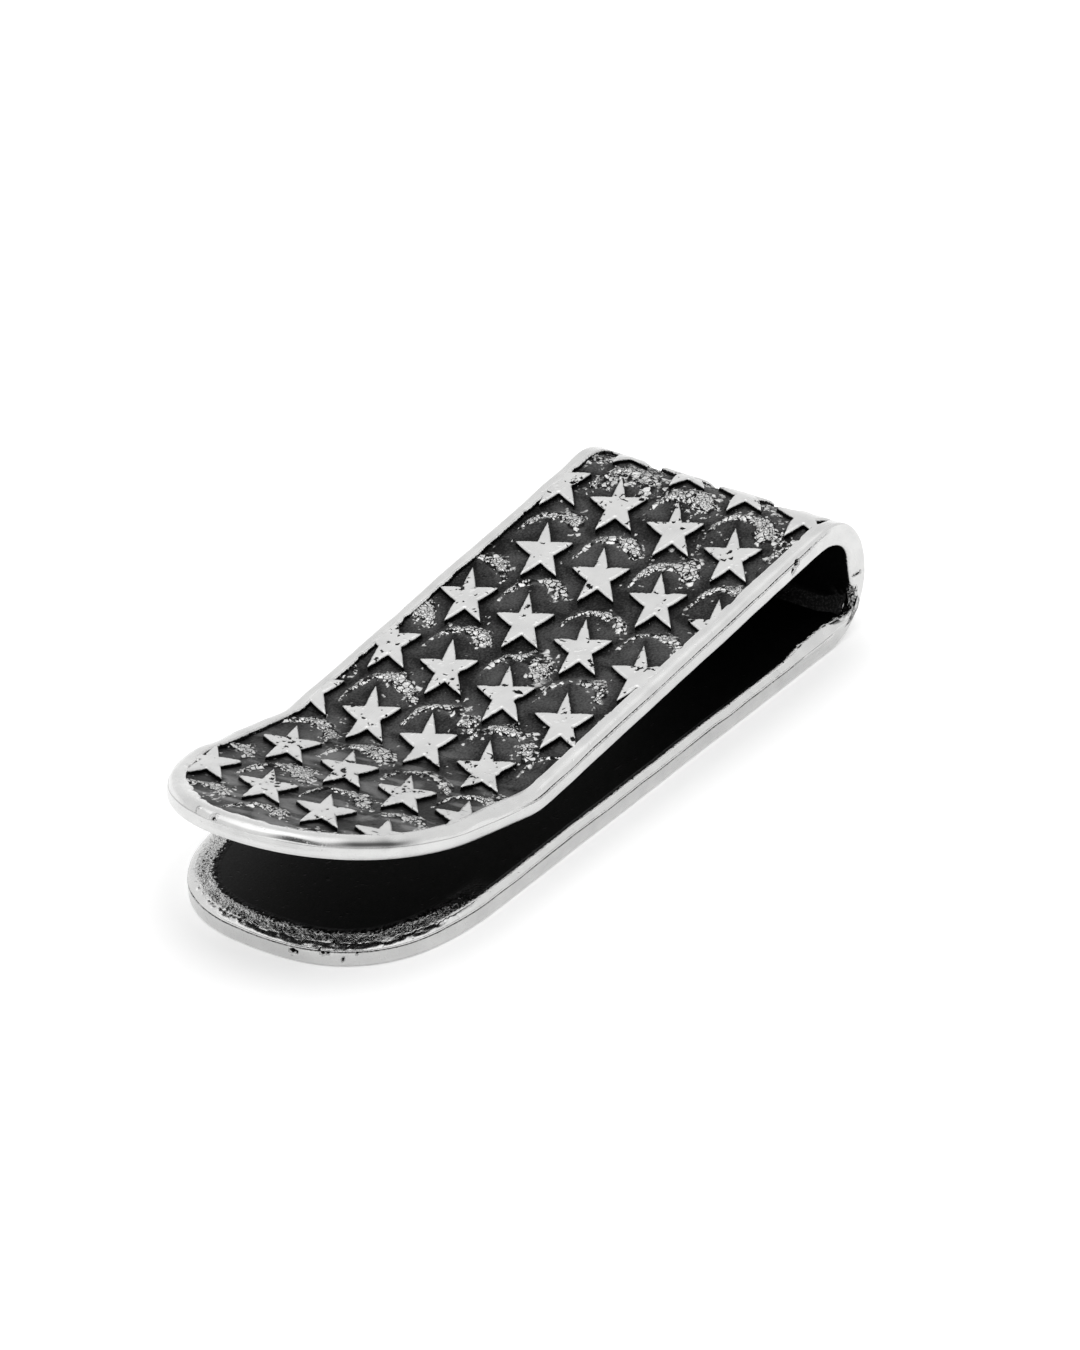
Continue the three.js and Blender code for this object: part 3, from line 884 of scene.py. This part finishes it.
def star_piece(name, material):
    """A star with a flat, pitted top and tapered sides, cut off where the rim or the foot covers it."""
    row, column = STARS[name]
    number = 10 * row + column
    centre = star_centre(row, column)
    flat, triangles, rim = star_top(number, centre)
    mesh = bmesh.new()
    on_edge = set(rim)
    top = [mesh.verts.new((*p, TOP_EDGE if n in on_edge else 0.0)) for n, p in enumerate(flat)]
    for face in triangles:
        mesh.faces.new([top[n] for n in face])
    rings = [[top[n] for n in rim]]
    for grow, depth in SIDE_RINGS:
        ring = []
        for n in rim:
            out = (flat[n] - centre) * (1 + grow / np.linalg.norm(flat[n] - centre)) + centre
            ring.append(mesh.verts.new((*out, depth)))
        rings.append(ring)
    for above, below in zip(rings, rings[1:]):
        for n in range(len(above)):
            mesh.faces.new((above[n - 1], above[n], below[n], below[n - 1]))
    mesh.faces.new(rings[-1])
    bmesh.ops.recalc_face_normals(mesh, faces=mesh.faces)
    for point, normal in clip_lines(centre):
        everything = mesh.verts[:] + mesh.edges[:] + mesh.faces[:]
        cut = bmesh.ops.bisect_plane(
            mesh, geom=everything, plane_co=(*point, 0), plane_no=(*normal, 0),
            clear_outer=True, dist=CUT_SNAP)
        seam = [e for e in cut["geom_cut"] if isinstance(e, bmesh.types.BMEdge) and e.is_boundary]
        if seam:
            bmesh.ops.holes_fill(mesh, edges=seam, sides=0)
    bmesh.ops.recalc_face_normals(mesh, faces=mesh.faces)
    mesh.verts.index_update()
    points = np.array([v.co[:] for v in mesh.verts])
    faces = [[v.index for v in face.verts] for face in mesh.faces]
    mesh.free()
    s, w, depth = points.T
    is_top = depth < TOP_ENDS
    patch = smooth(layer(s, w, *PIT_PATCHES), -0.15, 0.45)
    pit = smooth(layer(s, w, *SMALL_PITS, rough), 0.33, 0.45) * patch
    pit = np.maximum(pit, smooth(layer(s, w, *DEEP_PITS), 0.78, 0.92))
    depth = np.where(is_top, depth + layer(s, w, *TOP_DISHES) + PIT_DEPTH * pit**3, depth)
    oxide = np.where(is_top, pit, smooth(depth, 0.06, 0.16))
    strip = np.stack([s, w, depth], -1)
    piece = make_piece("cast_" + name, place(*strip.T), faces, material, strip, oxide=oxide)
    if row == 0:
        bend_with_bow(piece)
    else:
        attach(piece, "front")
    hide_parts(name)


# ---------------------------------------------------------------- materials

SILVER = (0.645, 0.645, 0.64, 1)
SILVER_WORN = (0.52, 0.52, 0.52, 1)
BLACK_OXIDE = (0.006, 0.006, 0.006, 1)
GREY_OXIDE = (0.23, 0.23, 0.23, 1)
DARK_GROUND = (0.02, 0.02, 0.02, 1)
FLOOR_TONES = ((0.93, 0.93, 0.93, 1), (0.96, 0.96, 0.96, 1))
FLOOR_FIBRES = 900.0  # to the metre
FLOOR_ROUGHNESS, FLOOR_GLOW = 0.9, 0.18
WHITE = (1, 1, 1, 1)

# Noise over the strip, as (stretch, scale, detail).
EVEN = (1, 1, 1)
SPECKLE = (EVEN, 6.0, 4.0)
CLOUDS = (EVEN, 0.7, 2.0)
SCRATCHES = ((0.25, 6, 6), 2.2, 3.0)
GRAIN = (EVEN, 16.0, 2.0)
PITS = (EVEN, 2.6, 1.0)
GRAIN_PLACES = (EVEN, 0.6, 1.0)
# Bright grains: the scales of the coarse and the fine ones, and how far their outlines wander.
GRAIN_SCALES = (2.1, 4.6)
GRAIN_WANDER = ((0.35, 0.35, 0.35), 3.0)
GRAIN_VARIETY = 0.75
# How high each texture stands in the bump, as a share of its distance.
SCRATCH_BUMP, GRAIN_BUMP, BRIGHT_GRAIN_BUMP, OXIDE_EDGE_BUMP = 0.35, 0.35, 1.2, 90.0
BUMP_DISTANCE = 0.02 * MM
GREY_FROM_GRAIN, GREY_FROM_SPECKLE = 0.5, 0.55
# The clouds' wear on the silver, and how dark the painted reflection under the lip's bead is.
CLOUD_WEAR, PAINTED_REFLECTION_DARK = 0.5, 0.95
GLOSS_VARIES = 0.12
OXIDE_ROUGHNESS = (0.42, 0.62)


def add(tree, kind, inputs=(), **settings):
    """A new node: its settings, then its inputs as values or as other nodes' outputs."""
    new = tree.nodes.new(kind)
    for key, value in settings.items():
        setattr(new, key, value)
    for key, value in dict(inputs).items():
        if isinstance(value, bpy.types.NodeSocket):
            tree.links.new(value, new.inputs[key])
        else:
            new.inputs[key].default_value = value
    return new


def maths(tree, operation, *values, clamp=False):
    return add(tree, "ShaderNodeMath", enumerate(values), operation=operation, use_clamp=clamp).outputs[0]


def centred(tree, value):
    """A 0 to 1 value, from -0.5 to 0.5."""
    return maths(tree, "SUBTRACT", value, 0.5)


def attribute(tree, name, output="Fac"):
    return add(tree, "ShaderNodeAttribute", attribute_name=name).outputs[output]


def mix_colours(tree, factor, a, b):
    return add(tree, "ShaderNodeMix", {0: factor, 6: a, 7: b}, data_type="RGBA").outputs[2]


def ramp(tree, value, low, high, to_low=0.0, to_high=1.0):
    inputs = {"Value": value, "From Min": low, "From Max": high, "To Min": to_low, "To Max": to_high}
    return add(tree, "ShaderNodeMapRange", inputs).outputs[0]


def noise_node(tree, vector, stretch, scale, detail):
    """Noise over the strip's millimetres, scale grains to the millimetre before it is stretched."""
    mapped = add(tree, "ShaderNodeMapping", {"Vector": vector, "Scale": stretch}).outputs[0]
    return add(tree, "ShaderNodeTexNoise", {"Vector": mapped, "Scale": scale, "Detail": detail}).outputs[0]


def grain_mask(tree, strip, cover):
    """Cast grains, 1 on each and 0 in the crevices between them, closer where the cover is high."""
    amount, wander_scale = GRAIN_WANDER
    wander = add(tree, "ShaderNodeTexNoise", {"Vector": strip, "Scale": wander_scale}).outputs["Color"]
    warped = add(tree, "ShaderNodeVectorMath", {0: wander, 1: amount, 2: strip},
                 operation="MULTIPLY_ADD").outputs[0]
    sizes = []
    for scale in GRAIN_SCALES:
        cell = add(tree, "ShaderNodeTexVoronoi", {"Vector": warped, "Scale": scale}).outputs["Color"]
        tone = add(tree, "ShaderNodeSeparateColor", {0: cell}).outputs[0]
        edge = add(tree, "ShaderNodeTexVoronoi", {"Vector": warped, "Scale": scale},
                   feature="DISTANCE_TO_EDGE").outputs["Distance"]
        level = maths(tree, "MULTIPLY_ADD", centred(tree, tone), GRAIN_VARIETY, cover)
        sizes.append(maths(tree, "MULTIPLY", ramp(tree, level, 0.44, 0.49), ramp(tree, edge, 0.05, 0.11)))
    zone = ramp(tree, noise_node(tree, strip, *GRAIN_PLACES), 0.46, 0.54)
    return add(tree, "ShaderNodeMix", {0: zone, 2: sizes[0], 3: sizes[1]}).outputs[0]


def silver_material(name, ragged, relief, gloss, on_relief=False):
    """Polished silver where the oxide attribute is 0 and blackened silver where it is 1, with a ragged line
    between them, and the polish's own scratches, clouds and pits. On the relief, grains take the attribute's
    place."""
    material = bpy.data.materials.new(name)
    material.use_nodes = True
    tree = material.node_tree
    shader = tree.nodes["Principled BSDF"]
    strip = attribute(tree, "strip", "Vector")
    speckle = noise_node(tree, strip, *SPECKLE)
    clouds = noise_node(tree, strip, *CLOUDS)
    scratches = noise_node(tree, strip, *SCRATCHES)
    grain = noise_node(tree, strip, *GRAIN)
    pits = ramp(tree, noise_node(tree, strip, *PITS), 0.68, 0.76, 0.0, -1.0)
    height = maths(tree, "MULTIPLY_ADD", scratches, SCRATCH_BUMP, pits)
    height = maths(tree, "MULTIPLY_ADD", grain, GRAIN_BUMP, height)
    if on_relief:
        bright_grains = grain_mask(tree, strip, attribute(tree, "cover"))
        height = maths(tree, "MULTIPLY_ADD", bright_grains, BRIGHT_GRAIN_BUMP, height)
        blackness = maths(tree, "SUBTRACT", 1.0, bright_grains)
        grey = attribute(tree, "grey")
        shade = maths(tree, "MULTIPLY_ADD", centred(tree, grain), GREY_FROM_GRAIN, grey)
        shade = maths(tree, "MULTIPLY_ADD", centred(tree, speckle), GREY_FROM_SPECKLE, shade, clamp=True)
        light_black = GREY_OXIDE
    else:
        oxide = attribute(tree, "oxide")
        partly = maths(tree, "MULTIPLY", oxide, maths(tree, "SUBTRACT", 1.0, oxide))
        crust = maths(tree, "MULTIPLY", speckle, OXIDE_EDGE_BUMP)
        height = maths(tree, "MULTIPLY_ADD", partly, crust, height)
        shifted = maths(tree, "MULTIPLY_ADD", centred(tree, speckle), ragged, oxide)
        blackness = ramp(tree, shifted, 0.44, 0.56)
        shade = ramp(tree, speckle, 0.45, 0.75, 0.0, 0.4)
        light_black = DARK_GROUND
    tint = ramp(tree, clouds, 0.3, 0.7)
    bright = mix_colours(tree, maths(tree, "MULTIPLY", tint, CLOUD_WEAR), SILVER, SILVER_WORN)
    # Painted reflection: the dark streak under the lip's bead is mixed into the base colour.
    tarnish = maths(tree, "MULTIPLY", attribute(tree, "tarnish"), PAINTED_REFLECTION_DARK)
    bright = mix_colours(tree, tarnish, bright, DARK_GROUND)
    black = mix_colours(tree, shade, BLACK_OXIDE, light_black)
    tree.links.new(mix_colours(tree, blackness, bright, black), shader.inputs["Base Color"])
    polished = ramp(tree, scratches, 0.3, 0.7, gloss, gloss + GLOSS_VARIES)
    oxidised = ramp(tree, grain, 0.3, 0.7, *OXIDE_ROUGHNESS)
    roughness = add(tree, "ShaderNodeMix", {0: blackness, 2: polished, 3: oxidised}).outputs[0]
    tree.links.new(roughness, shader.inputs["Roughness"])
    shader.inputs["Metallic"].default_value = 1.0
    bump = add(tree, "ShaderNodeBump", {"Strength": relief, "Distance": BUMP_DISTANCE, "Height": height})
    tree.links.new(bump.outputs[0], shader.inputs["Normal"])
    return material


def floor_material():
    material = bpy.data.materials.new("pale_floor")
    material.use_nodes = True
    tree = material.node_tree
    shader = tree.nodes["Principled BSDF"]
    where = add(tree, "ShaderNodeTexCoord").outputs["Object"]
    texture = {"Vector": where, "Scale": FLOOR_FIBRES, "Detail": 3.0}
    fibres = add(tree, "ShaderNodeTexNoise", texture).outputs[0]
    tree.links.new(mix_colours(tree, fibres, *FLOOR_TONES), shader.inputs["Base Color"])
    shader.inputs["Roughness"].default_value = FLOOR_ROUGHNESS
    shader.inputs["Specular IOR Level"].default_value = 0.0
    shader.inputs["Emission Color"].default_value = WHITE
    shader.inputs["Emission Strength"].default_value = FLOOR_GLOW
    return material


# ---------------------------------------------------------------- the studio

CAMERA_AZIMUTH, CAMERA_ELEVATION, CAMERA_ROLL = -52.95, 30.70, 2.63
CAMERA_DISTANCE = 0.516
AIM = Vector((4.394, -0.521, 5.0)) * MM
LENS, SENSOR = 213.33, 36.0
CAMERA_SEES = (0.01, 10)
FLOOR_SIZE = 3.0
FLOOR_DROP = 0.02 * MM
# The tent's dark gap: how nearly a direction must point at the camera, and the gap's level. Then its
# brighter top: the heights between which it brightens, and the two levels.
GAP, GAP_LEVEL = (0.89, 0.965), 0.06
ZENITH = (0.72, 1.0, 1.05, 1.6)
OVERHEAD_PLACE, OVERHEAD_SIZE, OVERHEAD_POWER = (0.0, 0.3, 1.1), 1.2, 1.0


def camera():
    azimuth, elevation = math.radians(CAMERA_AZIMUTH), math.radians(CAMERA_ELEVATION)
    level = math.cos(elevation)
    back = Vector((math.sin(azimuth) * level, -math.cos(azimuth) * level, math.sin(elevation)))
    data = bpy.data.cameras.new("camera")
    data.lens, data.sensor_width, data.sensor_fit = LENS, SENSOR, "AUTO"
    data.clip_start, data.clip_end = CAMERA_SEES
    new = bpy.data.objects.new("camera", data)
    new.rotation_mode = "QUATERNION"
    roll = Quaternion((0, 0, 1), -math.radians(CAMERA_ROLL))
    new.rotation_quaternion = back.to_track_quat("Z", "Y") @ roll
    new.location = AIM + back * CAMERA_DISTANCE
    bpy.context.scene.collection.objects.link(new)
    bpy.context.scene.camera = new
    return back


def floor(material):
    half = FLOOR_SIZE / 2
    corners = [(-half, -half), (half, -half), (half, half), (-half, half)]
    mesh = bpy.data.meshes.new("floor")
    mesh.from_pydata([(x, y, -FLOOR_DROP) for x, y in corners], [], [(0, 1, 2, 3)])
    mesh.materials.append(material)
    new = bpy.data.objects.new("floor", mesh)
    bpy.context.scene.collection.objects.link(new)


def soft_light(name, location, size, power):
    data = bpy.data.lights.new(name, "AREA")
    data.shape, data.size, data.energy = "DISK", size, power
    new = bpy.data.objects.new(name, data)
    new.location = location
    new.rotation_mode = "QUATERNION"
    new.rotation_quaternion = Vector(location).to_track_quat("Z", "Y")
    bpy.context.scene.collection.objects.link(new)


def studio(toward_camera):
    """A white tent all round, brightest overhead, with a dark gap that the camera looks through."""
    world = bpy.data.worlds.new("tent")
    bpy.context.scene.world = world
    world.use_nodes = True
    tree = world.node_tree
    background = tree.nodes["Background"]
    direction = add(tree, "ShaderNodeTexCoord").outputs["Generated"]
    facing = add(tree, "ShaderNodeVectorMath", {0: direction, 1: toward_camera}, operation="DOT_PRODUCT")
    shade = ramp(tree, facing.outputs["Value"], *GAP)
    height = add(tree, "ShaderNodeSeparateXYZ", {0: direction}).outputs["Z"]
    level = ramp(tree, height, *ZENITH)
    level = maths(tree, "MULTIPLY", level, ramp(tree, shade, 0.0, 1.0, 1.0, GAP_LEVEL))
    tree.links.new(level, background.inputs["Strength"])
    background.inputs["Color"].default_value = WHITE
    soft_light("overhead", OVERHEAD_PLACE, OVERHEAD_SIZE, OVERHEAD_POWER)


# ---------------------------------------------------------------- putting it together

body_silver = silver_material("silver_body", ragged=1.6, relief=0.6, gloss=0.17)
star_silver = silver_material("silver_stars", ragged=0.6, relief=0.25, gloss=0.26)
relief_silver = silver_material("silver_relief", ragged=0.0, relief=0.5, gloss=0.3, on_relief=True)

clip_body(body_silver)
bend_with_bow(relief_piece("relief_bow", RECESS_FOOT[1] - 0.1, 0.0, relief_silver))
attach(relief_piece("relief_front", 0.0, FRONT_STRAIGHT, relief_silver), "front")
LIP_RELIEF_END = STRIP_END - SLAB_INSET - RELIEF_PITCH
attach(relief_piece("relief_lip", FRONT_STRAIGHT, LIP_RELIEF_END, relief_silver), "front")
for star_name in STAR_NAMES:
    star_piece(star_name, star_silver)

floor(floor_material())
studio(camera())
bpy.context.scene.view_settings.view_transform = "Standard"
